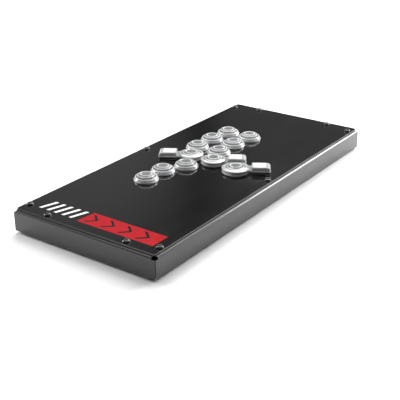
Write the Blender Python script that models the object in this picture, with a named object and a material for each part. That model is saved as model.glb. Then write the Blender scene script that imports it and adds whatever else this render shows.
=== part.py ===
"""Slim all-button arcade controller, built as an assembly of separate pieces.

Units are metres, +Z is up. The origin is the centre of the footprint, on the surface that the
controller stands on. +X runs along the long side towards the player's right hand and +Y points
away from the player.
"""
import math

import bmesh
import bpy
from mathutils import Matrix, Vector

MM = 0.001

# Overall sizes of the folded case
LENGTH = 407.0 * MM
DEPTH = 178.6 * MM
HEIGHT = 27.0 * MM              # from the standing surface to the face of the top plate
GAP = 0.3 * MM                  # left between pieces that rest on each other

# Sheet metal
SHEET = 1.2 * MM
BEND = 2.3 * MM                 # outer radius of every fold
FLANGE = 14.0 * MM              # return flange that carries the top plate
CORNER = 1.2 * MM               # outer radius of the upright corners
TOP_RELIEF = 4.5 * MM           # square notch where two return folds meet
FOOT_RELIEF = 8.0 * MM          # notch where two bottom folds meet
FOOT_RELIEF_HEIGHT = 1.9 * MM
SEAM = 0.5 * MM                 # open joint at each upright corner

# Top plate and the mat under the case
PLATE = 1.5 * MM
PLATE_CORNER = 3.0 * MM
MAT = 0.7 * MM
MAT_INSET = 14.0 * MM
MAT_CORNER = 6.0 * MM

# Button-head screws, measured from the outer edges of the case
SCREW_SHANK = 2.0 * MM
SCREW_HEAD = 3.8 * MM
SCREW_HEAD_HEIGHT = 2.2 * MM
SCREW_HEAD_ROUND = 0.76 * MM
SCREW_SOCKET = 1.44 * MM
SCREW_SOCKET_DEPTH = 1.3 * MM
SCREW_CLEARANCE = 0.3 * MM
LONG_EDGE_TO_SCREW = 7.5 * MM
SHORT_EDGE_TO_SCREW = 8.5 * MM
CORNER_TO_LONG_SCREW = 16.7 * MM
CORNER_TO_SHORT_SCREW = 39.7 * MM
NUT_RADIUS = 3.6 * MM
NUT_HEIGHT = 3.0 * MM

# Buttons: heights are measured from the face of the top plate
HOLE = 12.15 * MM               # radius of a finger button's hole in the plate
THUMB_HOLE = 13.45 * MM
SLEEVE_CLEARANCE = 0.3 * MM
SLEEVE_WALL = 1.05 * MM
SLEEVE_DEPTH = 7.0 * MM
BEAD = 0.65 * MM                # snap bead that holds the bezel under the plate
RIM_OVERHANG = 1.25 * MM        # bezel rim beyond the hole
RIM_HEIGHT = 1.7 * MM           # top of the rim's upright side
SHOULDER_HEIGHT = 3.5 * MM      # bezel's slope, straight above the hole's edge
LIP_HEIGHT = 4.4 * MM
LIP_ROUND = 0.4 * MM
LOW_RIM_OVERHANG = 0.5 * MM     # bezel rim under a paddle cap
LOW_RIM_HEIGHT = 1.4 * MM
CAP_CLEARANCE = 0.4 * MM
CAP_WALL = 1.2 * MM
CAP_TOP = 7.4 * MM
CAP_DISC = 6.4 * MM             # radius of the dished disc on top
CAP_DISH = 0.5 * MM
CAP_STEP = 1.1 * MM             # from the cap's side to where the slope up to the disc starts
CAP_STEP_HEIGHT = 5.9 * MM
CAP_SHOULDER = 4.9 * MM
SKIRT_DEPTH = 4.0 * MM
STEM_RADIUS = 2.0 * MM
TRAVEL = 2.2 * MM

# Paddle caps: a wide cap with a bar that ends in a raised block
PADDLE_OVERHANG = 1.75 * MM     # cap edge beyond the hole
PADDLE_WALL = 0.9 * MM
PADDLE_LIFT = 2.5 * MM          # lower edge above the plate, more than the travel
PADDLE_EDGE = 2.4 * MM          # height of the upright edge
ROOF_CLEARANCE = 0.2 * MM        # left above the bezel when the cap is pressed
BAR_THICKNESS = 1.4 * MM
BAR_OFFSET = 0.1 * MM           # the bar's underside above the cap's lower edge
BLOCK_START = 1.8 * MM          # from the cap's edge to the block
BLOCK_LENGTH = 21.0 * MM
BLOCK_WIDTH = 16.0 * MM
BLOCK_TOP = 7.7 * MM
BLOCK_TAPER = 0.7 * MM
BLOCK_WALL = 1.4 * MM
BLOCK_END = 3.8 * MM            # how far the block's far end curves over

# Low-profile switches and their board
SWITCH_SIZE = 13.8 * MM
SWITCH_LID = 12.2 * MM          # foot of the tapered upper half
SWITCH_LID_TAPER = 1.2 * MM
SWITCH_HEIGHT = 5.3 * MM
SWITCH_DEPTH = 8.4 * MM         # from the plate's face down to the switch's top
WELL_RADIUS = 2.4 * MM
WELL_DEPTH = 4.0 * MM
STEM_ENTRY = 1.2 * MM           # how far the stem stands in the well at rest
BOARD = 1.6 * MM
BOARD_MARGIN = 16.0 * MM
STANDOFF = 3.0 * MM
STUD = 1.3 * MM
STUD_CLEARANCE = 0.3 * MM
STANDOFF_INSET = 4.0 * MM

# Button layout, centre of each button from the middle of the panel
DIRECTION_PLACES = {"left": (-71.8 * MM, 25.6 * MM), "down": (-43.2 * MM, 25.0 * MM),
                    "right": (-18.4 * MM, 12.0 * MM)}
UPPER_ROW = [(8.8 * MM, 24.4 * MM), (36.3 * MM, 35.6 * MM), (66.8 * MM, 36.0 * MM), (96.0 * MM, 32.2 * MM)]
ROW_PITCH = 30.2 * MM
THUMB_PLACE = (1.7 * MM, -39.9 * MM)
PADDLE_HEADINGS = {"action_1": 122.0, "action_5": -58.0, "up": -58.0}

# Function buttons and the cable socket in the far wall
FUNCTION_NAMES = ["select", "start", "home", "lock"]
FUNCTION_PITCH = 16.0 * MM
FUNCTION_FIRST = 96.0 * MM      # from the right-hand end of the case
FUNCTION_RADIUS = 2.5 * MM
FUNCTION_CLEARANCE = 0.3 * MM
FUNCTION_LENGTH = 3.7 * MM
FUNCTION_COLLAR = 0.9 * MM      # collar beyond the button's radius
FUNCTION_TRAVEL = 0.6 * MM
FUNCTION_RECESS = 0.1 * MM
TACT_SIZE = 6.0 * MM
TACT_BODY = 2.6 * MM
TACT_PIN = 0.9 * MM
SOCKET_PLACE = 26.0 * MM        # from the right-hand end of the case
SOCKET_WIDTH = 8.94 * MM
SOCKET_HEIGHT = 3.26 * MM
SOCKET_SHELL = 0.3 * MM
SOCKET_CAVITY = 6.0 * MM
SOCKET_TONGUE = 6.7 * MM        # width of the tongue
SOCKET_CLEARANCE = 0.33 * MM
CONTROL_HEIGHT = 15.0 * MM
CONTROL_MARGIN = 8.0 * MM
POST_WIDTH = 6.0 * MM
POST_DEPTH = 4.0 * MM

# Levels above the standing surface
PLATE_BOTTOM = HEIGHT - PLATE
TRAY_TOP = PLATE_BOTTOM - GAP
FLANGE_BOTTOM = TRAY_TOP - SHEET
TRAY_BOTTOM = MAT + GAP
FLOOR_TOP = TRAY_BOTTOM + SHEET
SWITCH_TOP = HEIGHT - SWITCH_DEPTH
BOARD_TOP = SWITCH_TOP - SWITCH_HEIGHT - GAP
BOARD_BOTTOM = BOARD_TOP - BOARD
WALL_MIDDLE = (FLOOR_TOP + FLANGE_BOTTOM) / 2
BUTTON_BACK = DEPTH / 2 - FUNCTION_RECESS - FUNCTION_LENGTH
CONTROL_FACE = BUTTON_BACK - (FUNCTION_TRAVEL + GAP) - TACT_PIN - TACT_BODY

ROUND_STEPS = 18                # sides of a button piece
SMALL_STEPS = 10                # sides of a screw, nut or bore
CORNER_STEPS = 3
SMOOTH_ANGLE = math.radians(35)
OVER = 1.0 * MM                 # how far a cutter runs past what it cuts


# ---------------------------------------------------------------- tools

def clear_scene():
    for item in list(bpy.data.objects):
        bpy.data.objects.remove(item, do_unlink=True)


def material(name, color, roughness, metallic=0.0, alpha=1.0):
    surface = bpy.data.materials.new(name)
    surface.use_nodes = True
    shader = surface.node_tree.nodes["Principled BSDF"]
    shader.inputs["Base Color"].default_value = (*color, 1.0)
    shader.inputs["Roughness"].default_value = roughness
    shader.inputs["Metallic"].default_value = metallic
    shader.inputs["Alpha"].default_value = alpha
    return surface


def finish(name, mesh_data, surface, place=(0, 0, 0), turn=0.0):
    """Put a bmesh into the scene as one named object, turned about Z at its place."""
    bmesh.ops.recalc_face_normals(mesh_data, faces=mesh_data.faces)
    mesh = bpy.data.meshes.new(name)
    mesh_data.to_mesh(mesh)
    mesh_data.free()
    mesh.shade_smooth()
    mesh.set_sharp_from_angle(angle=SMOOTH_ANGLE)
    item = bpy.data.objects.new(name, mesh)
    item.location = place
    item.rotation_euler = (0, 0, turn)
    if surface:
        mesh.materials.append(surface)
    bpy.context.scene.collection.objects.link(item)
    return item


def helper(item):
    """Mark an object as a cutter or an addition that is not a piece of its own."""
    item.hide_render = True
    item.display_type = "WIRE"
    return item


def combine(item, other, operation):
    helper(other)
    step = item.modifiers.new(other.name, "BOOLEAN")
    step.operation = operation
    step.solver = "EXACT"
    step.object = other
    return item


def cut(item, other):
    return combine(item, other, "DIFFERENCE")


def join(item, other):
    return combine(item, other, "UNION")


def rounded_rectangle(length, depth, radius, steps=CORNER_STEPS):
    """Points of a rounded rectangle about the origin, counter-clockwise."""
    points = []
    for corner in range(4):
        sign_x = 1 if corner in (0, 3) else -1
        sign_y = 1 if corner in (0, 1) else -1
        centre = Vector((sign_x * (length / 2 - radius), sign_y * (depth / 2 - radius)))
        for step in range(steps + 1):
            angle = math.radians(90 * (corner + step / steps))
            points.append(centre + radius * Vector((math.cos(angle), math.sin(angle))))
    return points


def circle(radius, steps, centre=(0, 0)):
    return [Vector((centre[0] + radius * math.cos(math.tau * i / steps),
                    centre[1] + radius * math.sin(math.tau * i / steps))) for i in range(steps)]


def loft(mesh_data, rings):
    """Join rings of equal length, given as (height, points), into one closed solid."""
    loops = [[mesh_data.verts.new((p.x, p.y, height)) for p in points] for height, points in rings]
    for lower, upper in zip(loops, loops[1:]):
        for i in range(len(lower)):
            j = (i + 1) % len(lower)
            mesh_data.faces.new((lower[i], lower[j], upper[j], upper[i]))
    mesh_data.faces.new(loops[0])
    mesh_data.faces.new(loops[-1])


def column(mesh_data, points, low, high):
    loft(mesh_data, [(low, points), (high, points)])


def block(mesh_data, low, high):
    """Add a box between two opposite corners."""
    low, high = Vector(low), Vector(high)
    size = high - low
    place = Matrix.Translation((low + high) / 2) @ Matrix.Diagonal((*size, 1))
    bmesh.ops.create_cube(mesh_data, size=1, matrix=place)


def turned(mesh_data, profile, steps):
    """Turn a closed profile of (radius, height) points about Z; radius 0 is on the axis."""
    rings = []
    for radius, height in profile:
        if radius == 0:
            rings.append([mesh_data.verts.new((0, 0, height))] * steps)
        else:
            rings.append([mesh_data.verts.new((p.x, p.y, height)) for p in circle(radius, steps)])
    open_profile = profile[0][0] == 0
    pairs = zip(rings, rings[1:] + ([] if open_profile else rings[:1]))
    for lower, upper in pairs:
        for i in range(steps):
            j = (i + 1) % steps
            corners = []
            for vertex in (lower[i], lower[j], upper[j], upper[i]):
                if vertex not in corners:
                    corners.append(vertex)
            mesh_data.faces.new(corners)


def tool(name, build):
    """Make a helper object from a function that fills a bmesh."""
    mesh_data = bmesh.new()
    build(mesh_data)
    return finish(name, mesh_data, None)


# ---------------------------------------------------------------- places

def screw_places():
    long_x = LENGTH / 2 - CORNER_TO_LONG_SCREW
    long_y = DEPTH / 2 - LONG_EDGE_TO_SCREW
    short_x = LENGTH / 2 - SHORT_EDGE_TO_SCREW
    short_y = DEPTH / 2 - CORNER_TO_SHORT_SCREW
    places = [(x, y) for x in (-long_x, 0, long_x) for y in (-long_y, long_y)]
    return places + [(x, y) for x in (-short_x, short_x) for y in (-short_y, short_y)]


def button_places():
    places = dict(DIRECTION_PLACES)
    for i, (x, y) in enumerate(UPPER_ROW):
        places[f"action_{i + 1}"] = (x, y)
        places[f"action_{i + 5}"] = (x, y - ROW_PITCH)
    places["up"] = THUMB_PLACE
    return places


def hole_radius(name):
    return THUMB_HOLE if name == "up" else HOLE


def function_places():
    first = LENGTH / 2 - FUNCTION_FIRST
    return {name: first + i * FUNCTION_PITCH for i, name in enumerate(FUNCTION_NAMES)}


def socket_place():
    return LENGTH / 2 - SOCKET_PLACE


def board_limits():
    xs = [x for x, y in button_places().values()]
    ys = [y for x, y in button_places().values()]
    return (min(xs) - BOARD_MARGIN, min(ys) - BOARD_MARGIN, max(xs) + BOARD_MARGIN, max(ys) + BOARD_MARGIN)


def standoff_places():
    left, near, right, far = board_limits()
    xs = (left + STANDOFF_INSET, right - STANDOFF_INSET)
    ys = (near + STANDOFF_INSET, far - STANDOFF_INSET)
    return [(x, y) for x in xs for y in ys]


def control_limits():
    places = list(function_places().values()) + [socket_place()]
    return min(places) - CONTROL_MARGIN, max(places) + CONTROL_MARGIN


# ---------------------------------------------------------------- case

def folded_rings(inset, radius, low, high):
    """Rings of a box with rounded folds along its lower and upper edges."""
    rings = []
    for step in range(CORNER_STEPS + 1):
        angle = math.radians(90 * step / CORNER_STEPS)
        rings.append((radius * (1 - math.sin(angle)), low + radius * (1 - math.cos(angle))))
    for step in range(CORNER_STEPS + 1):
        angle = math.radians(90 * step / CORNER_STEPS)
        rings.append((radius * (1 - math.cos(angle)), high - radius * (1 - math.sin(angle))))
    return [(height, rounded_rectangle(LENGTH - 2 * (inset + fold), DEPTH - 2 * (inset + fold),
                                       CORNER - inset - fold if CORNER > inset + fold else GAP))
            for fold, height in rings]


def corner_boxes(mesh_data, size, low, high):
    """A box over each corner of the case, reaching in by size."""
    for sign_x in (-1, 1):
        for sign_y in (-1, 1):
            xs = sorted((sign_x * (LENGTH / 2 + OVER), sign_x * (LENGTH / 2 - size)))
            ys = sorted((sign_y * (DEPTH / 2 + OVER), sign_y * (DEPTH / 2 - size)))
            block(mesh_data, (xs[0], ys[0], low), (xs[1], ys[1], high))


def seam_slots(mesh_data):
    """A thin upright slot through each corner, on the corner's diagonal."""
    reach = 2 * CORNER
    for sign_x in (-1, 1):
        for sign_y in (-1, 1):
            centre = Vector((sign_x * LENGTH / 2, sign_y * DEPTH / 2))
            along = Vector((sign_x, sign_y)).normalized() * reach
            across = Vector((-along.y, along.x)).normalized() * SEAM / 2
            points = [centre - along - across, centre + along - across,
                      centre + along + across, centre - along + across]
            column(mesh_data, points, TRAY_BOTTOM + FOOT_RELIEF_HEIGHT - OVER / 2, TRAY_TOP + OVER)


def wall_openings(mesh_data):
    """Holes through the far wall for the function buttons and the cable socket."""
    lift = Matrix.Translation((0, DEPTH / 2 - SHEET / 2, WALL_MIDDLE)) @ Matrix.Rotation(math.pi / 2, 4, "X")
    for x in function_places().values():
        points = circle(FUNCTION_RADIUS + FUNCTION_CLEARANCE, SMALL_STEPS, (x, 0))
        column(mesh_data, points, -SHEET, SHEET)
    height = SOCKET_HEIGHT + 2 * SOCKET_CLEARANCE
    outline = rounded_rectangle(SOCKET_WIDTH + 2 * SOCKET_CLEARANCE, height, height / 2 - GAP / 2)
    column(mesh_data, [p + Vector((socket_place(), 0)) for p in outline], -SHEET, SHEET)
    bmesh.ops.transform(mesh_data, matrix=lift, verts=mesh_data.verts)


def case_posts(mesh_data):
    """Board standoffs on the floor, and two posts behind the control board."""
    for x, y in standoff_places():
        shoulder = BOARD_BOTTOM - GAP
        rings = [(FLOOR_TOP - SHEET / 2, circle(STANDOFF, SMALL_STEPS, (x, y))),
                 (shoulder, circle(STANDOFF, SMALL_STEPS, (x, y))),
                 (shoulder, circle(STUD, SMALL_STEPS, (x, y))),
                 (BOARD_TOP + OVER, circle(STUD, SMALL_STEPS, (x, y)))]
        loft(mesh_data, rings)
    back = CONTROL_FACE - BOARD - GAP
    for x in control_limits():
        centre = x + (POST_WIDTH if x == control_limits()[0] else -POST_WIDTH)
        block(mesh_data, (centre - POST_WIDTH / 2, back - POST_DEPTH, FLOOR_TOP - SHEET / 2),
              (centre + POST_WIDTH / 2, back, FLOOR_TOP + CONTROL_HEIGHT / 2))


def make_case(surface):
    mesh_data = bmesh.new()
    loft(mesh_data, folded_rings(0, BEND, TRAY_BOTTOM, TRAY_TOP))
    case = finish("case_tray", mesh_data, surface)
    inner_rings = folded_rings(SHEET, BEND - SHEET, FLOOR_TOP, FLANGE_BOTTOM)
    cut(case, tool("case_cavity", lambda b: loft(b, inner_rings)))
    opening = rounded_rectangle(LENGTH - 2 * FLANGE, DEPTH - 2 * FLANGE, PLATE_CORNER)
    cut(case, tool("case_opening", lambda b: column(b, opening, FLANGE_BOTTOM - OVER, TRAY_TOP + OVER)))
    low = TRAY_TOP - BEND - GAP
    cut(case, tool("fold_reliefs", lambda b: corner_boxes(b, TOP_RELIEF, low, TRAY_TOP + OVER)))
    high = TRAY_BOTTOM + FOOT_RELIEF_HEIGHT
    cut(case, tool("foot_reliefs", lambda b: corner_boxes(b, FOOT_RELIEF, TRAY_BOTTOM - OVER, high)))
    cut(case, tool("corner_seams", seam_slots))
    cut(case, tool("wall_openings", wall_openings))
    join(case, tool("clinch_nuts", lambda b: [
        column(b, circle(NUT_RADIUS, SMALL_STEPS, p), FLANGE_BOTTOM - NUT_HEIGHT, TRAY_TOP - SHEET / 2)
        for p in screw_places()]))
    cut(case, tool("nut_bores", lambda b: [
        column(b, circle(SCREW_SHANK + SCREW_CLEARANCE, SMALL_STEPS, p),
               FLANGE_BOTTOM - NUT_HEIGHT - OVER, TRAY_TOP + OVER) for p in screw_places()]))
    join(case, tool("case_posts", case_posts))
    return case


def make_plate(surface):
    """Flat plate that lies on the return flanges, inside the folds."""
    outline = rounded_rectangle(LENGTH - 2 * BEND, DEPTH - 2 * BEND, PLATE_CORNER)
    mesh_data = bmesh.new()
    column(mesh_data, outline, PLATE_BOTTOM, HEIGHT)
    plate = finish("top_plate", mesh_data, surface)

    def holes(cutter):
        for name, place in button_places().items():
            column(cutter, circle(hole_radius(name), ROUND_STEPS, place), PLATE_BOTTOM - OVER, HEIGHT + OVER)
        for place in screw_places():
            radius = SCREW_SHANK + SCREW_CLEARANCE
            column(cutter, circle(radius, SMALL_STEPS, place), PLATE_BOTTOM - OVER, HEIGHT + OVER)

    return cut(plate, tool("plate_holes", holes))


def make_mat(surface):
    mesh_data = bmesh.new()
    inset = 2 * MAT_INSET
    column(mesh_data, rounded_rectangle(LENGTH - inset, DEPTH - inset, MAT_CORNER), 0, MAT)
    return finish("base_mat", mesh_data, surface)


def make_screws(surface):
    """Button-head screws, each hanging through the plate into its clinch nut."""
    tip = FLANGE_BOTTOM - NUT_HEIGHT - HEIGHT
    under = GAP
    crown = under + SCREW_HEAD_HEIGHT
    profile = [(0, tip), (SCREW_SHANK, tip), (SCREW_SHANK, under), (SCREW_HEAD, under),
               (SCREW_HEAD, under + SCREW_HEAD_HEIGHT / 4),
               (SCREW_HEAD - SCREW_HEAD_ROUND, crown - SCREW_HEAD_HEIGHT / 4),
               (SCREW_HEAD / 2, crown), (0, crown)]
    for i, (x, y) in enumerate(screw_places()):
        mesh_data = bmesh.new()
        turned(mesh_data, profile, SMALL_STEPS)
        screw = finish(f"screw_{i + 1:02d}", mesh_data, surface, (x, y, HEIGHT))
        socket = tool(f"screw_socket_{i + 1:02d}", lambda b: column(
            b, circle(SCREW_SOCKET, 6), crown - SCREW_SOCKET_DEPTH, crown + OVER))
        socket.location = screw.location
        cut(screw, socket)


# ---------------------------------------------------------------- buttons

def make_bezel(name, place, surface):
    """Fixed collar that snaps into the plate and guides the cap."""
    hole = hole_radius(name)
    outer = hole - SLEEVE_CLEARANCE
    inner = outer - SLEEVE_WALL
    if name in PADDLE_HEADINGS:
        rim, top = hole + LOW_RIM_OVERHANG, LOW_RIM_HEIGHT
        slope = [(rim, top - LIP_ROUND), (rim - LIP_ROUND, top)]
    else:
        rim, top = hole + RIM_OVERHANG, LIP_HEIGHT
        slope = [(rim, RIM_HEIGHT), (hole, SHOULDER_HEIGHT), (hole - LIP_ROUND, top)]
    bead = -(PLATE + GAP)
    profile = [(outer, -SLEEVE_DEPTH), (outer, bead - 2 * BEAD), (outer + BEAD, bead - BEAD),
               (outer, bead), (outer, GAP), (rim, GAP)] + slope
    profile += [(inner + LIP_ROUND, top), (inner, top - LIP_ROUND), (inner, -SLEEVE_DEPTH)]
    mesh_data = bmesh.new()
    turned(mesh_data, profile, ROUND_STEPS)
    return finish(f"bezel_{name}", mesh_data, surface, (*place, HEIGHT))


def stem_and_skirt(name):
    """Lower part of every cap's profile, from the stem's tip to the outside of the skirt."""
    outer = hole_radius(name) - SLEEVE_CLEARANCE - SLEEVE_WALL - CAP_CLEARANCE
    inner = outer - CAP_WALL
    tip = -SWITCH_DEPTH - STEM_ENTRY
    ceiling = CAP_TOP - CAP_DISH - CAP_WALL - GAP
    shoulder = ceiling - CAP_DISH if name in PADDLE_HEADINGS else CAP_SHOULDER - CAP_WALL
    return [(0, tip), (STEM_RADIUS, tip), (STEM_RADIUS, ceiling), (CAP_DISC - CAP_WALL, ceiling),
            (inner, shoulder), (inner, -SKIRT_DEPTH), (outer, -SKIRT_DEPTH)], outer


def cap_crown(outer):
    """Upper part of every cap's profile, from the step to the middle of the dished disc."""
    return [(outer - CAP_STEP, CAP_STEP_HEIGHT), (CAP_DISC, CAP_TOP - CAP_DISH / 3),
            (CAP_DISC - CAP_DISH, CAP_TOP), (0, CAP_TOP - CAP_DISH)]


def make_round_cap(name, place, surface):
    lower, outer = stem_and_skirt(name)
    profile = lower + [(outer, CAP_SHOULDER)] + cap_crown(outer)
    mesh_data = bmesh.new()
    turned(mesh_data, profile, ROUND_STEPS)
    return finish(f"cap_{name}", mesh_data, surface, (*place, HEIGHT))


def make_paddle_cap(name, place, surface):
    """Wide cap over its bezel, with a bar that ends in a raised block for the finger."""
    turn = math.radians(PADDLE_HEADINGS[name])
    edge = hole_radius(name) + PADDLE_OVERHANG
    inside = edge - PADDLE_WALL
    roof = LOW_RIM_HEIGHT + TRAVEL + ROOF_CLEARANCE
    lower, outer = stem_and_skirt(name)
    profile = lower + [(outer, roof + PADDLE_WALL), (inside, roof), (inside, PADDLE_LIFT),
                       (edge, PADDLE_LIFT), (edge, PADDLE_LIFT + PADDLE_EDGE)] + cap_crown(outer)
    mesh_data = bmesh.new()
    turned(mesh_data, profile, ROUND_STEPS)
    cap = finish(f"cap_{name}", mesh_data, surface, (*place, HEIGHT), turn)

    start = edge + BLOCK_START
    half = (BLOCK_WIDTH - BLOCK_TAPER) / 2
    under = PADDLE_LIFT + BAR_OFFSET
    bar = tool(f"paddle_bar_{name}", lambda b: block(b, (0, -half, under),
                                                     (start + BLOCK_WALL, half, under + BAR_THICKNESS)))
    bore = tool(f"paddle_bore_{name}", lambda b: column(b, circle(edge - PADDLE_WALL / 2, ROUND_STEPS),
                                                        -OVER, CAP_TOP))
    raised = tool(f"paddle_block_{name}", lambda b: loft(b, block_rings(start, 0, PADDLE_LIFT)))
    hollow = tool(f"paddle_hollow_{name}",
                  lambda b: loft(b, block_rings(start, BLOCK_WALL, PADDLE_LIFT - OVER)))
    for item in (bar, bore, raised, hollow):
        item.location = cap.location
        item.rotation_euler = cap.rotation_euler
    cut(bar, bore)
    join(cap, bar)
    join(cap, raised)
    cut(cap, hollow)
    return cap


def block_rings(start, inset, low):
    """Rings of the block, or of the hollow inside it: tapered, with its far end curved over."""
    high = BLOCK_TOP - inset
    bend = BLOCK_END - inset
    rings = []
    levels = [(low, 0)] + [(high - bend * (1 - math.sin(a)), bend * (1 - math.cos(a)))
                           for a in (math.radians(90 * i / CORNER_STEPS) for i in range(CORNER_STEPS + 1))]
    for height, setback in levels:
        taper = BLOCK_TAPER * (height - low) / (high - low)
        near, far = start + inset + taper, start + BLOCK_LENGTH - inset - setback
        outline = rounded_rectangle(far - near, BLOCK_WIDTH - 2 * (inset + taper), BLOCK_WALL - inset / 2, 2)
        rings.append((height, [p + Vector(((near + far) / 2, 0)) for p in outline]))
    return rings


def make_switch(name, place, surface):
    """Low-profile switch with a round well for the cap's stem."""
    bottom = BOARD_TOP + GAP - SWITCH_TOP
    half_way = bottom / 2
    lid_top = SWITCH_LID - SWITCH_LID_TAPER
    rings = [(bottom, rounded_rectangle(SWITCH_SIZE, SWITCH_SIZE, GAP, 1)),
             (half_way, rounded_rectangle(SWITCH_SIZE, SWITCH_SIZE, GAP, 1)),
             (half_way, rounded_rectangle(SWITCH_LID, SWITCH_LID, GAP, 1)),
             (0, rounded_rectangle(lid_top, lid_top, GAP, 1))]
    mesh_data = bmesh.new()
    loft(mesh_data, rings)
    switch = finish(f"switch_{name}", mesh_data, surface, (*place, SWITCH_TOP))
    well = tool(f"switch_well_{name}", lambda b: column(
        b, circle(WELL_RADIUS, SMALL_STEPS), -WELL_DEPTH, OVER))
    well.location = switch.location
    return cut(switch, well)


# ---------------------------------------------------------------- boards and far wall

def make_main_board(surface):
    left, near, right, far = board_limits()
    mesh_data = bmesh.new()
    block(mesh_data, (left, near, BOARD_BOTTOM), (right, far, BOARD_TOP))
    board = finish("main_board", mesh_data, surface)
    return cut(board, tool("board_holes", lambda b: [
        column(b, circle(STUD + STUD_CLEARANCE, SMALL_STEPS, p), BOARD_BOTTOM - OVER, BOARD_TOP + OVER)
        for p in standoff_places()]))


def make_control_board(surface):
    """Upright board behind the far wall, with one tact switch behind each function button."""
    left, right = control_limits()
    low = FLOOR_TOP + GAP
    mesh_data = bmesh.new()
    block(mesh_data, (left, CONTROL_FACE - BOARD, low), (right, CONTROL_FACE, low + CONTROL_HEIGHT))
    board = finish("control_board", mesh_data, surface)

    def tact_switches(addition):
        half = TACT_SIZE / 2
        for x in function_places().values():
            block(addition, (x - half, CONTROL_FACE - BOARD / 2, WALL_MIDDLE - half),
                  (x + half, CONTROL_FACE + TACT_BODY, WALL_MIDDLE + half))

    def tact_pins(addition):
        half = TACT_SIZE / 4
        for x in function_places().values():
            block(addition, (x - half, CONTROL_FACE, WALL_MIDDLE - half),
                  (x + half, CONTROL_FACE + TACT_BODY + TACT_PIN, WALL_MIDDLE + half))

    join(board, tool("tact_switches", tact_switches))
    return join(board, tool("tact_pins", tact_pins))


def lay_back(item, x):
    """Point a piece that was made along +Z towards +Y, with its foot on the far wall's outside."""
    item.location = (x, DEPTH / 2, WALL_MIDDLE)
    item.rotation_euler = (-math.pi / 2, 0, 0)


def make_function_button(name, x, surface):
    """Round button in the far wall, held in by a collar."""
    face = -FUNCTION_RECESS
    collar_top = -SHEET - GAP
    collar = FUNCTION_RADIUS + FUNCTION_COLLAR
    profile = [(0, face - FUNCTION_LENGTH), (FUNCTION_RADIUS, face - FUNCTION_LENGTH),
               (FUNCTION_RADIUS, collar_top - FUNCTION_COLLAR), (collar, collar_top - FUNCTION_COLLAR),
               (collar, collar_top), (FUNCTION_RADIUS, collar_top),
               (FUNCTION_RADIUS, face - FUNCTION_RECESS),
               (FUNCTION_RADIUS - FUNCTION_RECESS, face), (0, face)]
    mesh_data = bmesh.new()
    turned(mesh_data, profile, SMALL_STEPS)
    button = finish(f"{name}_button", mesh_data, surface)
    lay_back(button, x)
    return button


def make_socket(surface):
    """Reversible cable socket: a flattened shell with a tongue inside."""
    back = CONTROL_FACE + GAP - DEPTH / 2
    front = -SHEET / 2
    shell = rounded_rectangle(SOCKET_WIDTH, SOCKET_HEIGHT, SOCKET_HEIGHT / 2 - GAP / 2)
    mesh_data = bmesh.new()
    column(mesh_data, shell, back, front)
    socket = finish("cable_socket", mesh_data, surface)
    width = SOCKET_WIDTH - 2 * SOCKET_SHELL
    height = SOCKET_HEIGHT - 2 * SOCKET_SHELL
    cavity = tool("socket_cavity", lambda b: column(
        b, rounded_rectangle(width, height, height / 2 - GAP / 2), front - SOCKET_CAVITY, front + OVER))
    tongue = tool("socket_tongue", lambda b: block(
        b, (-SOCKET_TONGUE / 2, -SOCKET_SHELL, front - SOCKET_CAVITY - SOCKET_SHELL),
        (SOCKET_TONGUE / 2, SOCKET_SHELL, front - SOCKET_SHELL)))
    for item in (socket, cavity, tongue):
        lay_back(item, socket_place())
    cut(socket, cavity)
    return join(socket, tongue)


# ---------------------------------------------------------------- assembly

def build():
    clear_scene()
    steel = material("powder_coated_steel", (0.045, 0.045, 0.048), 0.45, 0.2)
    gloss = material("gloss_black_plate", (0.012, 0.012, 0.013), 0.18)
    black_screw = material("black_oxide", (0.02, 0.02, 0.022), 0.3, 0.9)
    clear = material("clear_plastic", (0.85, 0.87, 0.88), 0.08, 0.0, 0.5)
    bezel_clear = material("clear_bezel_plastic", (0.80, 0.82, 0.84), 0.1, 0.0, 0.5)
    switch_body = material("switch_body", (0.75, 0.76, 0.78), 0.35)
    laminate = material("board_laminate", (0.02, 0.02, 0.02), 0.4)
    rubber = material("mat_rubber", (0.03, 0.03, 0.03), 0.85)
    button_black = material("function_button_plastic", (0.03, 0.03, 0.03), 0.4)
    plated = material("plated_shell", (0.7, 0.7, 0.72), 0.25, 1.0)

    make_mat(rubber)
    make_case(steel)
    make_plate(gloss)
    make_screws(black_screw)
    for name, place in button_places().items():
        make_bezel(name, place, bezel_clear)
        make_switch(name, place, switch_body)
        if name in PADDLE_HEADINGS:
            make_paddle_cap(name, place, clear)
        else:
            make_round_cap(name, place, clear)
    make_main_board(laminate)
    make_control_board(laminate)
    for name, x in function_places().items():
        make_function_button(name, x, button_black)
    make_socket(plated)


build()
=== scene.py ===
"""The looks of a slim all-button arcade controller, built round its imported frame.

Metres, +Z up. The origin is on the table under the middle of the case, +X runs along the long
side towards the right hand, and +Y points away from the player.
"""
import math

import bmesh
import bpy
from mathutils import Matrix, Vector


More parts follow.
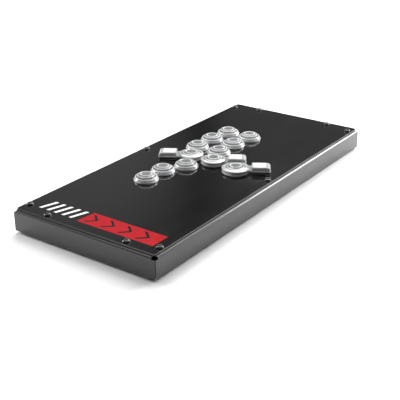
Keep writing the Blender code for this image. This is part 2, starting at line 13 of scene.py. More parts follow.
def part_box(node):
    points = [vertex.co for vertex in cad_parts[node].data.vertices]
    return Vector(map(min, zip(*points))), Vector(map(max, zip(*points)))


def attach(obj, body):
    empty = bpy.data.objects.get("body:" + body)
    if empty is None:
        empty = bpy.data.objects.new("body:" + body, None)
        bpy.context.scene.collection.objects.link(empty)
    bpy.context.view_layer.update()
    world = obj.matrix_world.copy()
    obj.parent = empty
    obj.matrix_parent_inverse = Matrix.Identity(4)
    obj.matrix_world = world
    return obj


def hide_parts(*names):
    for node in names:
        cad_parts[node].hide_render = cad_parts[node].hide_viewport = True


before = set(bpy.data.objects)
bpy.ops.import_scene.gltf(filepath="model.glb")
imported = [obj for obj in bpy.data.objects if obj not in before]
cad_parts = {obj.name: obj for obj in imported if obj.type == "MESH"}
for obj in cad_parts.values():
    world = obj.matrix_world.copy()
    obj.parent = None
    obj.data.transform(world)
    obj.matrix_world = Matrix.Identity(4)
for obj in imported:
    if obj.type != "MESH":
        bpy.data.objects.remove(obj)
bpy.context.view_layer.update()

MM = 0.001
ROUND = 64                      # sides of a turned piece
SMALL_ROUND = 32

# The case, read from the frame, and the sheet that it is folded from
CASE_LOW, CASE_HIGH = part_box("case_tray")
PLATE_LOW, PLATE_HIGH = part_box("top_plate")
PLATE_TOP = PLATE_HIGH.z
LENGTH = CASE_HIGH.x - CASE_LOW.x
DEPTH = CASE_HIGH.y - CASE_LOW.y
SHEET = 1.2 * MM
BEND = 2.3 * MM                 # outer radius of a fold
BEND_STEPS = 8
CORNER = 1.2 * MM               # radius of the upright corners
FLANGE = 14.0 * MM              # width of the rim that the plate lies on
TOP_RELIEF = 4.5 * MM           # side of the notch at a corner's upper end
FOOT_RELIEF = 8.0 * MM          # and at its lower end
FOOT_RELIEF_HEIGHT = 1.9 * MM
SEAM = 0.5 * MM
PLATE_CORNER = 3.0 * MM
EASED = 0.25 * MM               # rounding of the plate's edges
CORNERS = [(x, y) for x in (-1, 1) for y in (-1, 1)]

# Fits and cuts
OVER = 1.0 * MM                 # how far a cutter runs past what it cuts
SNUG = 0.05 * MM                # gap between two pieces that lie against each other

# Screws of the plate
SCREWS = range(1, 11)
SCREW_HOLE = 2.3 * MM           # radius of a hole in the plate
NUT_HOLE = 2.6 * MM             # and in the flange under it

# Finger buttons: radii, and heights from the face of the plate
HOLE = 12.15 * MM
THUMB_HOLE = 13.45 * MM
HOLE_GAP = 0.3 * MM             # between the hole and the bezel's sleeve
SLEEVE_WALL = 1.05 * MM
SLEEVE_DEPTH = 7.0 * MM
RIM_REACH = 1.25 * MM           # how far a bezel's rim runs past the hole
LOW_RIM_REACH = 0.5 * MM        # and the rim of a bezel under a paddle cap
LOW_RIM_HEIGHT = 1.4 * MM
CAP_CLEARANCE = 0.4 * MM
CAP_WALL = 1.2 * MM
CAP_FOOT = -4.0 * MM
CAP_DISC = 6.8 * MM             # edge of the cap's flat middle
CAP_TOP = 7.4 * MM
CAP_DISH = 0.6 * MM
TRAVEL = 2.2 * MM

# Paddle caps: a wide cap, a bar and a block beside it, along the cap's own +X
WIDE_CAP_REACH = 1.75 * MM      # how far a wide cap runs past the hole
PADDLE_FOOT = 2.5 * MM
BLOCK_GAP = 1.8 * MM            # between the wide cap's side and the block
BLOCK_LENGTH = 21.0 * MM
BLOCK_WIDTH = 16.0 * MM
BLOCK_TOP = 7.7 * MM
BLOCK_WALL = 1.2 * MM
PADDLE_DIRECTIONS = {"action_1": 122.0, "action_5": -58.0, "up": -58.0}     # degrees about Z

BUTTONS = [name[4:] for name in sorted(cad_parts) if name.startswith("cap_")]
FUNCTIONS = ["select", "start", "home", "lock"]


# ---------------------------------------------------------------- finishes

class Wire:
    """An output of a shader node that can be used in arithmetic."""

    def __init__(self, nodes, socket):
        self.nodes = nodes
        self.socket = socket

    def math(self, operation, first, second):
        return self.nodes.node("ShaderNodeMath", {"operation": operation}, {0: first, 1: second})

    def __add__(self, other):
        return self.math("ADD", self, other)

    def __sub__(self, other):
        return self.math("SUBTRACT", self, other)

    def __mul__(self, other):
        return self.math("MULTIPLY", self, other)

    def __truediv__(self, other):
        return self.math("DIVIDE", self, other)

    def __pow__(self, other):
        return self.math("POWER", self, other)

    def __rsub__(self, other):
        return self.math("SUBTRACT", other, self)

    __radd__ = __add__
    __rmul__ = __mul__


class Nodes:
    """A node tree, and the one way of adding a node to it."""

    def __init__(self, tree):
        self.tree = tree

    def plug(self, socket, value):
        if isinstance(value, Wire):
            self.tree.links.new(value.socket, socket)
        else:
            socket.default_value = value

    def node(self, kind, settings, inputs, output=0):
        made = self.tree.nodes.new(kind)
        for key, value in settings.items():
            if key == "stops":
                elements = made.color_ramp.elements
                for i, (place, color) in enumerate(value):
                    stop = elements[i] if i < 2 else elements.new(place)
                    stop.position = place
                    stop.color = color
            else:
                setattr(made, key, value)
        for key, value in inputs.items():
            self.plug(made.inputs[key], value)
        return Wire(self, made.outputs[output])


class Finish(Nodes):
    """A material, made from a Principled shader and the nodes that feed it."""

    def __init__(self, name, **constants):
        self.material = bpy.data.materials.new(name)
        self.material.use_nodes = True
        super().__init__(self.material.node_tree)
        self.shader = self.tree.nodes["Principled BSDF"]
        self.feed(**constants)

    def place(self):
        return self.node("ShaderNodeTexCoord", {}, {}, "Object")

    def parts(self):
        """X, Y and Z of a point on the piece, in metres."""
        split = self.node("ShaderNodeSeparateXYZ", {}, {0: self.place()})
        return [Wire(self, out) for out in split.socket.node.outputs]

    def radius(self):
        """Distance of a point from the piece's own Z axis, in metres."""
        x, y, _ = self.parts()
        return (x ** 2.0 + y ** 2.0) ** 0.5

    def noise(self, scale, detail=2.0, roughness=0.5, where=None):
        return self.node("ShaderNodeTexNoise", {}, {
            "Vector": where or self.place(),
            "Scale": scale, "Detail": detail, "Roughness": roughness})

    def cells(self, scale, feature="F1"):
        return self.node("ShaderNodeTexVoronoi", {"feature": feature}, {
            "Vector": self.place(), "Scale": scale}, "Distance")

    def span(self, value, low, high, to_low, to_high):
        """Value from low to high becomes to_low to to_high, and stays inside them."""
        return self.node("ShaderNodeMapRange", {}, {
            0: value, 1: low, 2: high, 3: to_low, 4: to_high})

    def ramp(self, value, stops):
        """A near-grey colour from (place, level) stops."""
        colors = [(place, gray(level, 0.02)) for place, level in stops]
        return self.node("ShaderNodeValToRGB", {"stops": colors}, {0: value})

    def blend(self, amount, first, second, how="MIX"):
        """Colour first where amount is 0, and colour second where it is 1."""
        return self.node("ShaderNodeMix", {"data_type": "RGBA", "blend_type": how},
                         {0: amount, 6: first, 7: second}, 2)

    def clouded(self, tone):
        """A colour with faint clouds in it, as in moulded clear plastic."""
        cloud = self.blend(self.noise(120.0, 3.0), gray(0.90), gray(1.0))
        return self.blend(1.0, tone, cloud, "MULTIPLY")

    def bump(self, height, depth, strength):
        return self.node("ShaderNodeBump", {}, {
            "Height": height, "Distance": depth, "Strength": strength})

    def feed(self, **inputs):
        for socket, value in inputs.items():
            self.plug(self.shader.inputs[socket.replace("_", " ")], value)
        return self


def gray(level, tint=0.0):
    return (level, level * (1 + tint / 2), level * (1 + tint), 1.0)


def powder_coat():
    """Black powder coat: a fine pebbled skin with small changes of tone."""
    finish = Finish("black_powder_coat", IOR=1.5, Specular_IOR_Level=0.3,
                    Coat_Weight=0.8, Coat_Roughness=0.10)
    grain = finish.noise(1500.0, 3.0, 0.6)
    pebble = finish.cells(1100.0, "SMOOTH_F1")
    tone = finish.noise(60.0, 3.0)
    color = finish.blend(finish.span(grain, 0.3, 0.7, 0.0, 1.0), gray(0.009), gray(0.022, 0.04))
    skin = finish.bump(grain * 0.6 + pebble * 0.8, 0.12 * MM, 0.55)
    return finish.feed(Base_Color=color, Roughness=0.36 + tone * 0.12 + grain * 0.08, Normal=skin)


def gloss_black():
    """Polished black plate with faint wipe marks and a little dust in the gloss."""
    finish = Finish("gloss_black_plate", IOR=1.5)
    stretched = finish.node("ShaderNodeMapping", {}, {
        "Vector": finish.place(), "Scale": (1.0, 5.0, 1.0), "Rotation": (0.0, 0.0, 0.4)})
    wipes = finish.noise(9.0, 5.0, 0.65, stretched)
    haze = finish.noise(16.0, 3.0)
    dust = finish.span(finish.cells(330.0), 0.05, 0.09, 1.0, 0.0)
    color = finish.blend(haze, gray(0.001), gray(0.003, 0.03))
    color = finish.blend(dust * 0.2, color, gray(0.12))
    rough = finish.span(wipes, 0.35, 0.75, 0.06, 0.12) + dust * 0.15
    skin = finish.bump(finish.noise(420.0, 1.0), 0.01 * MM, 0.25)
    return finish.feed(Base_Color=color, Roughness=rough, Normal=skin)


def plastic_with_painted_rings(name, rings, see_through):
    """Clear moulded plastic of a turned piece, with rings of painted highlight and painted dark
    streaks, given as (radius in mm, brightness).
    """
    finish = Finish(name, IOR=1.49, Transmission_Weight=see_through, Subsurface_Weight=0.4,
                    Subsurface_Scale=3.0 * MM, Subsurface_Radius=(1.0, 1.0, 1.0))
    flow = finish.noise(260.0, 2.0)
    radius = finish.radius() + (flow - 0.5) * (0.12 * MM)
    last = rings[-1][0]
    # Painted light: the ramp lays highlights and dark streaks in rings round the axis.
    tone = finish.ramp(radius / (last * MM), [(r / last, level) for r, level in rings])
    skin = finish.bump(flow, 0.02 * MM, 0.3)
    return finish.feed(Base_Color=finish.clouded(tone), Roughness=0.06 + flow * 0.06, Normal=skin)


def block_plastic():
    """Clear plastic of a paddle, with a painted highlight at its foot and over its top, and painted
    shade down its sides.
    """
    finish = Finish("clear_block", IOR=1.49, Subsurface_Weight=0.6, Subsurface_Scale=4.0 * MM,
                    Subsurface_Radius=(1.0, 1.0, 1.0))
    flow = finish.noise(260.0, 2.0)
    height = finish.parts()[2] + (flow - 0.5) * (0.15 * MM)
    # Painted light by height: bright bands at the foot and near the top, with darker sides between
    # them.
    tone = finish.ramp(height / BLOCK_TOP, [
        (0.30, 1.0), (0.42, 1.0), (0.46, 0.36), (0.84, 0.42), (0.90, 0.60), (0.96, 0.45)])
    skin = finish.bump(flow, 0.02 * MM, 0.3)
    return finish.feed(Base_Color=finish.clouded(tone), Roughness=0.07 + flow * 0.06, Normal=skin)


def milky_plastic():
    """Translucent white core that lights the clear cap over it."""
    finish = Finish("milky_core", IOR=1.46, Subsurface_Weight=0.3, Subsurface_Scale=1.5 * MM,
                    Subsurface_Radius=(1.0, 1.0, 1.0))
    cloud = finish.noise(160.0, 3.0)
    color = finish.blend(cloud, gray(0.50), gray(0.66, 0.02))
    skin = finish.bump(finish.noise(600.0, 2.0), 0.02 * MM, 0.3)
    return finish.feed(Base_Color=color, Roughness=0.35 + cloud * 0.15, Normal=skin)


def white_insert():
    """White pad under the clear block of a paddle."""
    finish = Finish("white_insert", IOR=1.46)
    cloud = finish.noise(240.0, 3.0)
    color = finish.blend(cloud, gray(0.62), gray(0.74, 0.01))
    skin = finish.bump(finish.noise(900.0, 2.0), 0.02 * MM, 0.3)
    return finish.feed(Base_Color=color, Roughness=0.4 + cloud * 0.1, Normal=skin)


def black_oxide():
    """Blackened screw steel, with a worn, brighter tone on its edges and turning marks."""
    finish = Finish("black_oxide_steel", IOR=1.5)
    marks = finish.node("ShaderNodeTexWave", {"wave_type": "RINGS", "rings_direction": "Z"}, {
        "Vector": finish.place(), "Scale": 900.0, "Distortion": 0.4, "Detail": 1.0})
    mottled = finish.noise(1200.0, 3.0)
    color = finish.blend(mottled, gray(0.010), gray(0.025, 0.06))
    worn = finish.span(finish.radius(), 3.3 * MM, 3.8 * MM, 0.0, 0.35)
    color = finish.blend(worn, color, gray(0.06, 0.04))
    skin = finish.bump(marks * 0.4 + mottled * 0.6, 0.02 * MM, 0.15)
    return finish.feed(Base_Color=color, Roughness=0.08 + mottled * 0.08, Metallic=0.1, Normal=skin)


def ink(name, low, high):
    """Screen-printed ink: a fine mesh texture and slightly uneven cover."""
    finish = Finish(name, IOR=1.48, Specular_IOR_Level=0.2)
    cover = finish.noise(700.0, 3.0)
    threads = finish.cells(2600.0)
    color = finish.blend(finish.span(cover, 0.3, 0.7, 0.0, 1.0), low, high)
    skin = finish.bump(threads, 0.01 * MM, 0.4)
    return finish.feed(Base_Color=color, Roughness=0.10 + cover * 0.08, Normal=skin)


def plated_steel():
    """Bright zinc plate with a faint grain."""
    finish = Finish("plated_steel", IOR=1.5)
    grain = finish.noise(1500.0, 3.0)
    crystals = finish.cells(420.0)
    color = finish.blend(crystals, gray(0.50, 0.03), gray(0.68, 0.05))
    skin = finish.bump(grain, 0.02 * MM, 0.4)
    return finish.feed(Base_Color=color, Roughness=0.25 + grain * 0.2, Metallic=0.95, Normal=skin)


def board_laminate():
    """Black solder mask over copper runs that stand out a little, with fine drill marks."""
    finish = Finish("board_laminate", IOR=1.5)
    runs = finish.node("ShaderNodeTexBrick", {"offset": 0.5, "squash": 1.0}, {
        "Vector": finish.place(), "Scale": 120.0, "Mortar Size": 0.06, "Mortar Smooth": 0.4}, "Fac")
    weave = finish.noise(900.0, 2.0)
    color = finish.blend(runs, gray(0.012), gray(0.035, 0.1))
    skin = finish.bump(runs * 0.8 + weave * 0.2, 0.05 * MM, 0.6)
    return finish.feed(Base_Color=color, Roughness=0.3 + weave * 0.2, Normal=skin)


def switch_plastic():
    """Pale satin plastic of the switch housings."""
    finish = Finish("switch_housing", IOR=1.46)
    cloud = finish.noise(420.0, 3.0)
    spark = finish.noise(2200.0, 2.0)
    color = finish.blend(cloud, gray(0.58), gray(0.70, 0.02))
    skin = finish.bump(spark, 0.02 * MM, 0.5)
    return finish.feed(Base_Color=color, Roughness=0.35 + spark * 0.15, Normal=skin)


def mat_rubber():
    """Dull black rubber with a pattern of small cells pressed into it."""
    finish = Finish("mat_rubber", IOR=1.5)
    cells = finish.cells(420.0, "DISTANCE_TO_EDGE")
    groove = finish.span(cells, 0.02, 0.12, 0.0, 1.0)
    speck = finish.noise(1400.0, 3.0)
    color = finish.blend(groove * 0.6 + speck * 0.4, gray(0.012), gray(0.040, 0.02))
    skin = finish.bump(groove + speck * 0.2, 0.12 * MM, 0.7)
    return finish.feed(Base_Color=color, Roughness=0.75 + speck * 0.15, Normal=skin)


def moulded_black():
    """Satin black plastic with a spark-eroded grain."""
    finish = Finish("moulded_black", IOR=1.48)
    spark = finish.noise(2600.0, 3.0)
    tone = finish.noise(300.0, 2.0)
    color = finish.blend(tone, gray(0.02), gray(0.04, 0.03))
    skin = finish.bump(spark, 0.03 * MM, 0.5)
    return finish.feed(Base_Color=color, Roughness=0.38 + spark * 0.16, Normal=skin)


def floor_paper():
    """White studio paper."""
    finish = Finish("studio_paper", IOR=1.4, Specular_IOR_Level=0.1)
    fibre = finish.noise(40.0, 4.0)
    color = finish.blend(fibre, gray(0.93), gray(0.96))
    return finish.feed(Base_Color=color, Roughness=0.8 + fibre * 0.1)


# ---------------------------------------------------------------- shapes

def rounded_rectangle(length, depth, radius, steps=8, centre=(0.0, 0.0)):
    """Points of a rounded rectangle, counter-clockwise."""
    points = []
    for corner in range(4):
        sign_x = 1 if corner in (0, 3) else -1
        sign_y = 1 if corner in (0, 1) else -1
        middle = Vector((centre[0] + sign_x * (length / 2 - radius),
                         centre[1] + sign_y * (depth / 2 - radius)))
        for step in range(steps + 1):
            angle = math.radians(90 * (corner + step / steps))
            points.append(middle + radius * Vector((math.cos(angle), math.sin(angle))))
    return points


def circle(radius, steps, centre=(0.0, 0.0)):
    return [Vector((centre[0] + radius * math.cos(math.tau * i / steps),
                    centre[1] + radius * math.sin(math.tau * i / steps))) for i in range(steps)]


def loft(mesh_data, rings):
    """Join rings of equal length, given as (height, points), into one closed solid."""
    loops = [[mesh_data.verts.new((p.x, p.y, height)) for p in points] for height, points in rings]
    for lower, upper in zip(loops, loops[1:]):
        for i in range(len(lower)):
            j = (i + 1) % len(lower)
            mesh_data.faces.new((lower[i], lower[j], upper[j], upper[i]))
    mesh_data.faces.new(loops[0])
    mesh_data.faces.new(loops[-1])


def column(mesh_data, points, low, high):
    loft(mesh_data, [(low, points), (high, points)])


def block(mesh_data, low, high):
    low, high = Vector(low), Vector(high)
    place = Matrix.Translation((low + high) / 2) @ Matrix.Diagonal((*(high - low), 1))
    bmesh.ops.create_cube(mesh_data, size=1, matrix=place)


def in_mm(*points):
    """Points given in millimetres, in metres."""
    return [(first * MM, second * MM) for first, second in points]


def eased(profile, radius, steps=4):
    """Round the corners of a closed (radius, height) profile, apart from those on the axis."""
    points = [Vector(p) for p in profile]
    rounded = []
    for i, corner in enumerate(points):
        before, after = points[i - 1], points[(i + 1) % len(points)]
        to_before, to_after = before - corner, after - corner
        angle = to_before.angle(to_after)
        if corner.x == 0 or angle > math.radians(176):
            rounded.append(corner)
            continue
        reach = min(radius / math.tan(angle / 2), 0.45 * to_before.length, 0.45 * to_after.length)
        start = corner + to_before.normalized() * reach
        end = corner + to_after.normalized() * reach
        for step in range(steps + 1):
            t = step / steps
            rounded.append(start * (1 - t) ** 2 + corner * 2 * t * (1 - t) + end * t ** 2)
    return rounded


def turned(mesh_data, profile, steps=ROUND):
    """Turn a closed profile of (radius, height) points about Z."""
    rings = []
    for point in profile:
        if point[0] == 0:
            rings.append([mesh_data.verts.new((0, 0, point[1]))] * steps)
        else:
            rings.append([mesh_data.verts.new((p.x, p.y, point[1])) for p in circle(point[0], steps)])
    closed = profile[0][0] != 0
    for lower, upper in zip(rings, rings[1:] + (rings[:1] if closed else [])):
        for i in range(steps):
            j = (i + 1) % steps
            corners = list(dict.fromkeys((lower[i], lower[j], upper[j], upper[i])))
            mesh_data.faces.new(corners)


def solid(name, build, finish=None, place=(0, 0, 0), turn=0.0):
    """A new object from a function that fills a bmesh."""
    mesh_data = bmesh.new()
    build(mesh_data)
    bmesh.ops.recalc_face_normals(mesh_data, faces=mesh_data.faces)
    mesh = bpy.data.meshes.new(name)
    mesh_data.to_mesh(mesh)
    mesh_data.free()
    item = bpy.data.objects.new(name, mesh)
    item.location = place
    item.rotation_euler = (0, 0, turn)
    bpy.context.scene.collection.objects.link(item)
    if finish:
        mesh.materials.append(finish.material)
    return item


def settle(item):
    """Apply all of an object's modifiers."""
    graph = bpy.context.evaluated_depsgraph_get()
    mesh = bpy.data.meshes.new_from_object(item.evaluated_get(graph))
    item.modifiers.clear()
    item.data = mesh


def carve(item, other, operation="DIFFERENCE"):
    """Cut another solid out of an object, or join it in, and discard that solid."""
    step = item.modifiers.new("carve", "BOOLEAN")
    step.operation = operation
    step.solver = "EXACT"
    step.object = other
    bpy.context.view_layer.update()
    settle(item)
    bpy.data.objects.remove(other)


def ease_edges(item, width, segments=2, angle=40.0):
    step = item.modifiers.new("ease", "BEVEL")
    step.width = width
    step.segments = segments
    step.limit_method = "ANGLE"
    step.angle_limit = math.radians(angle)
    settle(item)


def smooth(item, angle=35.0):
    """Shade a piece smoothly over its small facets, and keep its flats flat."""
    item.data.shade_smooth()
    item.data.set_sharp_from_angle(angle=math.radians(angle))
    step = item.modifiers.new("flat_faces", "WEIGHTED_NORMAL")
    step.keep_sharp = True


def add_piece(item, body, slot, *nodes):
    """Put a finished piece on a body and hide the nodes that it stands for; its slot is not used."""
    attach(item, body)
    if nodes:
        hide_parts(*nodes)


def twin(item, name, place, turn=0.0):
    """Another object with the same mesh, elsewhere."""
    copy = item.copy()
    copy.name = name
    copy.location = place
    copy.rotation_euler = (0, 0, turn)
    bpy.context.scene.collection.objects.link(copy)
    return copy


def centre_of(node):
    low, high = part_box(node)
    return (low + high) / 2


# ---------------------------------------------------------------- case and plate

def folded_rings(inset, radius, low, high):
    """Rings of a box with rounded folds along its lower and upper edges."""
    quarter = [math.radians(90 * step / BEND_STEPS) for step in range(BEND_STEPS + 1)]
    rings = [(radius * (1 - math.sin(a)), low + radius * (1 - math.cos(a))) for a in quarter]
    rings += [(radius * (1 - math.cos(a)), high - radius * (1 - math.sin(a))) for a in quarter]
    return [(height, rounded_rectangle(LENGTH - 2 * (inset + fold), DEPTH - 2 * (inset + fold),
                                       max(CORNER - inset - fold, 0.1 * MM)))
            for fold, height in rings]


def corner_boxes(mesh_data, size, low, high):
    """A box over each corner of the case, reaching in by size."""
    for sign_x, sign_y in CORNERS:
        xs = sorted((sign_x * (LENGTH / 2 + OVER), sign_x * (LENGTH / 2 - size)))
        ys = sorted((sign_y * (DEPTH / 2 + OVER), sign_y * (DEPTH / 2 - size)))
        block(mesh_data, (xs[0], ys[0], low), (xs[1], ys[1], high))


def seam_slots(mesh_data):
    """A thin upright slot through each corner, on the corner's diagonal."""
    reach = 2 * CORNER
    foot = CASE_LOW.z + FOOT_RELIEF_HEIGHT - OVER / 2
    for sign_x, sign_y in CORNERS:
        centre = Vector((sign_x * LENGTH / 2, sign_y * DEPTH / 2))
        along = Vector((sign_x, sign_y)).normalized() * reach
        across = Vector((-along.y, along.x)).normalized() * SEAM / 2
        points = [centre - along - across, centre + along - across,
                  centre + along + across, centre - along + across]
        column(mesh_data, points, foot, CASE_HIGH.z + OVER)


def wall_openings(mesh_data):
    """Holes through the far wall for the function buttons and the cable socket."""
    plunger_hole = 2.8 * MM
    socket_gap = 0.66 * MM
    socket_rounding = 0.2 * MM
    inside, outside = -3 * SHEET, SHEET
    for name in FUNCTIONS:
        low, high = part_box(f"{name}_button")
        middle = (low + high) / 2
        hole = circle(plunger_hole, SMALL_ROUND, (middle.x, -middle.z))
        column(mesh_data, hole, inside, outside)
    low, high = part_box("cable_socket")
    middle = (low + high) / 2
    size = high - low
    outline = rounded_rectangle(size.x + socket_gap, size.z + socket_gap,
                                size.z / 2 + socket_rounding, 8, (middle.x, -middle.z))
    column(mesh_data, outline, inside, outside)
    stand_up = Matrix.Translation((0, DEPTH / 2, 0)) @ Matrix.Rotation(-math.pi / 2, 4, "X")
    bmesh.ops.transform(mesh_data, matrix=stand_up, verts=mesh_data.verts)


def make_case(finish):
    low, high = CASE_LOW.z, CASE_HIGH.z
    flange = high - SHEET
    floor = low + SHEET
    relief_foot = high - BEND - 0.3 * MM
    case = solid("case_shell", lambda b: loft(b, folded_rings(0, BEND, low, high)), finish)
    inner = folded_rings(SHEET, BEND - SHEET, floor, flange)
    carve(case, solid("cavity", lambda b: loft(b, inner)))
    opening = rounded_rectangle(LENGTH - 2 * FLANGE, DEPTH - 2 * FLANGE, PLATE_CORNER)
    carve(case, solid("opening", lambda b: column(b, opening, flange - OVER, high + OVER)))
    carve(case, solid("fold_reliefs", lambda b: corner_boxes(
        b, TOP_RELIEF, relief_foot, high + OVER)))
    carve(case, solid("foot_reliefs", lambda b: corner_boxes(
        b, FOOT_RELIEF, low - OVER, low + FOOT_RELIEF_HEIGHT)))
    carve(case, solid("seams", seam_slots))
    carve(case, solid("wall_openings", wall_openings))
    carve(case, solid("flange_holes", lambda b: [
        column(b, circle(NUT_HOLE, SMALL_ROUND, screw_place(i)), flange - OVER, high + OVER)
        for i in SCREWS]))
    smooth(case)
    add_piece(case, "base", "case", "case_tray")


def make_nuts_and_studs(steel):
    """Clinch nuts under the flanges, and the studs that carry the main board."""
    top = CASE_HIGH.z - SNUG
    profile = in_mm((2.3, -4.1), (3.6, -4.1), (3.6, -1.25), (2.55, -1.25), (2.55, 0), (2.3, 0))
    nut = solid("clinch_nut", lambda b: turned(b, eased(profile, 0.15 * MM, 2), SMALL_ROUND), steel)
    smooth(nut)
    for i in SCREWS:
        add_piece(twin(nut, f"clinch_nut_{i:02d}", (*screw_place(i), top)), "base", "screw")
    bpy.data.objects.remove(nut)
    low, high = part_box("main_board")
    inset = 4.0 * MM
    post, pin = 3.0 * MM, 1.3 * MM
    floor = CASE_LOW.z + SHEET
    shoulder = low.z - SNUG
    tip = high.z + OVER
    profile = [(0, floor), (post, floor), (post, shoulder), (pin, shoulder), (pin, tip), (0, tip)]
    stud = solid("board_stud", lambda b: turned(b, eased(profile, 0.2 * MM, 2), SMALL_ROUND), steel)
    smooth(stud)
    places = [(x, y) for x in (low.x + inset, high.x - inset)
              for y in (low.y + inset, high.y - inset)]
    for i, place in enumerate(places):
        add_piece(twin(stud, f"board_stud_{i + 1}", (*place, 0)), "base", "screw")
    bpy.data.objects.remove(stud)


def make_plate(finish):
    size = PLATE_HIGH - PLATE_LOW
    outline = rounded_rectangle(size.x, size.y, PLATE_CORNER)
    plate = solid("gloss_plate", lambda b: column(b, outline, PLATE_LOW.z, PLATE_HIGH.z), finish)

    def holes(mesh_data):
        below, above = PLATE_LOW.z - OVER, PLATE_TOP + OVER
        for name in BUTTONS:
            column(mesh_data, circle(hole_of(name), ROUND, button_place(name)), below, above)
        for i in SCREWS:
            column(mesh_data, circle(SCREW_HOLE, SMALL_ROUND, screw_place(i)), below, above)

    carve(plate, solid("holes", holes))
    ease_edges(plate, EASED)
    smooth(plate)
    add_piece(plate, "base", "plate", "top_plate")


def screw_place(i):
    return centre_of(f"screw_{i:02d}").to_2d()


def button_place(name):
    return centre_of(f"bezel_{name}").to_2d()


def hole_of(name):
    return THUMB_HOLE if name == "up" else HOLE


def make_screws(finish):
    """Button-head screws with a hexagon socket, each turned a little differently."""
    shank = in_mm((0, -6.0), (1.7, -6.0), (2.0, -5.6), (2.0, 0.05))
    head = in_mm((3.8, 0.05), (3.8, 0.55), (3.5, 1.25), (2.9, 1.9), (2.1, 2.2), (0, 2.2))
    socket_radius, socket_floor, socket_end = 1.44 * MM, 0.9 * MM, 3.2 * MM
    screw = solid("screw", lambda b: turned(b, eased(shank + head, 0.35 * MM), SMALL_ROUND), finish)
    carve(screw, solid("hexagon", lambda b: column(
        b, circle(socket_radius, 6), socket_floor, socket_end)))
    ease_edges(screw, 0.1 * MM, 2, 50.0)
    smooth(screw)
    turn_step = 37
    for i in SCREWS:
        turn = math.radians(turn_step * i)
        copy = twin(screw, f"button_head_{i:02d}", (*screw_place(i), PLATE_TOP), turn)
        add_piece(copy, "base", "screw", f"screw_{i:02d}")
    bpy.data.objects.remove(screw)


# ---------------------------------------------------------------- finger buttons

def bezel_profile(name):
    """Sleeve with a snap bead under the plate, and a rim on it: a low one under a paddle cap."""
    hole = hole_of(name)
    outer = hole - HOLE_GAP
    inner = outer - SLEEVE_WALL
    bead = 0.65 * MM
    bead_top = -1.8 * MM
    foot = [(outer, -SLEEVE_DEPTH), (outer, bead_top - 2 * bead), (outer + bead, bead_top - bead),
            (outer, bead_top), (outer, SNUG)]
    if name in PADDLE_DIRECTIONS:
        rim = hole + LOW_RIM_REACH
        edge, thin = hole + 1.5 * MM, 0.24 * MM
        return foot + [(edge, SNUG), (edge, thin), (rim, thin), (rim, LOW_RIM_HEIGHT),
                       (inner, LOW_RIM_HEIGHT), (inner, -SLEEVE_DEPTH)]
    rim = hole + RIM_REACH
    return foot + [(rim, SNUG), (rim, 1.7 * MM), (hole, 3.5 * MM),
                   (hole - 0.5 * MM, 4.3 * MM), (inner + 0.3 * MM, 4.4 * MM), (inner, 4.0 * MM),
                   (inner, -SLEEVE_DEPTH)]


def crown_of(name):
    """Outer and inner radius of the cap's skirt, and the inner height of its top."""
    outer = hole_of(name) - HOLE_GAP - SLEEVE_WALL - CAP_CLEARANCE
    return outer, outer - CAP_WALL, CAP_TOP - CAP_DISH - CAP_WALL


def crown_rings():
    """Stepped rings that run from a cap's edge up to its dished top."""
    return in_mm((9.3, 5.9), (8.9, 6.2), (8.7, 6.0), (6.7, 7.0),
                 (6.4, 7.35), (5.9, 7.4), (5.4, 7.1), (0, 6.9))


def round_cap_profile(name):
    outer, inner, ceiling = crown_of(name)
    inner_shoulder, shoulder = 3.6 * MM, 4.9 * MM
    return [(0, ceiling), (CAP_DISC - CAP_WALL, ceiling), (inner, inner_shoulder),
            (inner, CAP_FOOT), (outer, CAP_FOOT), (outer, shoulder)] + crown_rings()


def paddle_cap_profile(name):
    """A cap that is wider than its hole, hollow over the low rim so that it can go down."""
    outer, inner, ceiling = crown_of(name)
    edge = hole_of(name) + WIDE_CAP_REACH
    wall = 0.9 * MM
    inside = edge - wall
    roof = LOW_RIM_HEIGHT + TRAVEL + 0.2 * MM
    inner_shoulder, shoulder = 5.2 * MM, 4.7 * MM
    return [(0, ceiling), (CAP_DISC - CAP_WALL, ceiling), (inner, inner_shoulder),
            (inner, CAP_FOOT), (outer, CAP_FOOT), (outer, roof + wall), (inside, roof),
            (inside, PADDLE_FOOT), (edge, PADDLE_FOOT), (edge, shoulder)] + crown_rings()


def core_profile(name):
    """Milky plunger: a dome under the clear crown, on a stem that runs into the switch."""
    _, inner, ceiling = crown_of(name)
    gap = 0.08 * MM
    top = ceiling - gap
    edge = inner - gap
    stem, stem_foot, skirt_foot = 2.0 * MM, -9.6 * MM, -3.8 * MM
    return [(0, stem_foot), (stem, stem_foot), (stem, top - 2.6 * MM),
            (edge - 1.5 * MM, 1.2 * MM), (edge - 1.2 * MM, skirt_foot), (edge, skirt_foot),
            (edge, 3.5 * MM), (CAP_DISC - CAP_WALL, top), (0, top)]


def block_rings(start, inset, low, top, steps=6):
    """Rings of the paddle's block: a ledge round its foot, tapered sides, the far end curved over."""
    ledge, full_taper, top_round, end_bend = 0.5 * MM, 0.7 * MM, 0.35 * MM, 3.8 * MM
    corner, least_corner = 1.4 * MM, 0.4 * MM
    high = top - inset
    bend = end_bend - inset
    levels = [(low, 0.0), (low + 0.75 * MM, 0.0), (low + 0.8 * MM, 0.0)]
    for i in range(steps + 1):
        angle = math.radians(90 * i / steps)
        levels.append((high - bend * (1 - math.sin(angle)), bend * (1 - math.cos(angle))))
    rings = []
    for height, setback in levels:
        share = max(0.0, (height - low) / (high - low))
        taper = ledge + (full_taper - ledge) * share + (top_round if share > 0.999 else 0.0)
        if len(rings) < 2:
            taper = 0.0
        near = start + inset + taper
        far = start + BLOCK_LENGTH - inset - setback
        outline = rounded_rectangle(far - near, BLOCK_WIDTH - 2 * (inset + taper),
                                    max(corner - inset / 2, least_corner), 4,
                                    ((near + far) / 2, 0.0))
        rings.append((height, outline))
    return rings


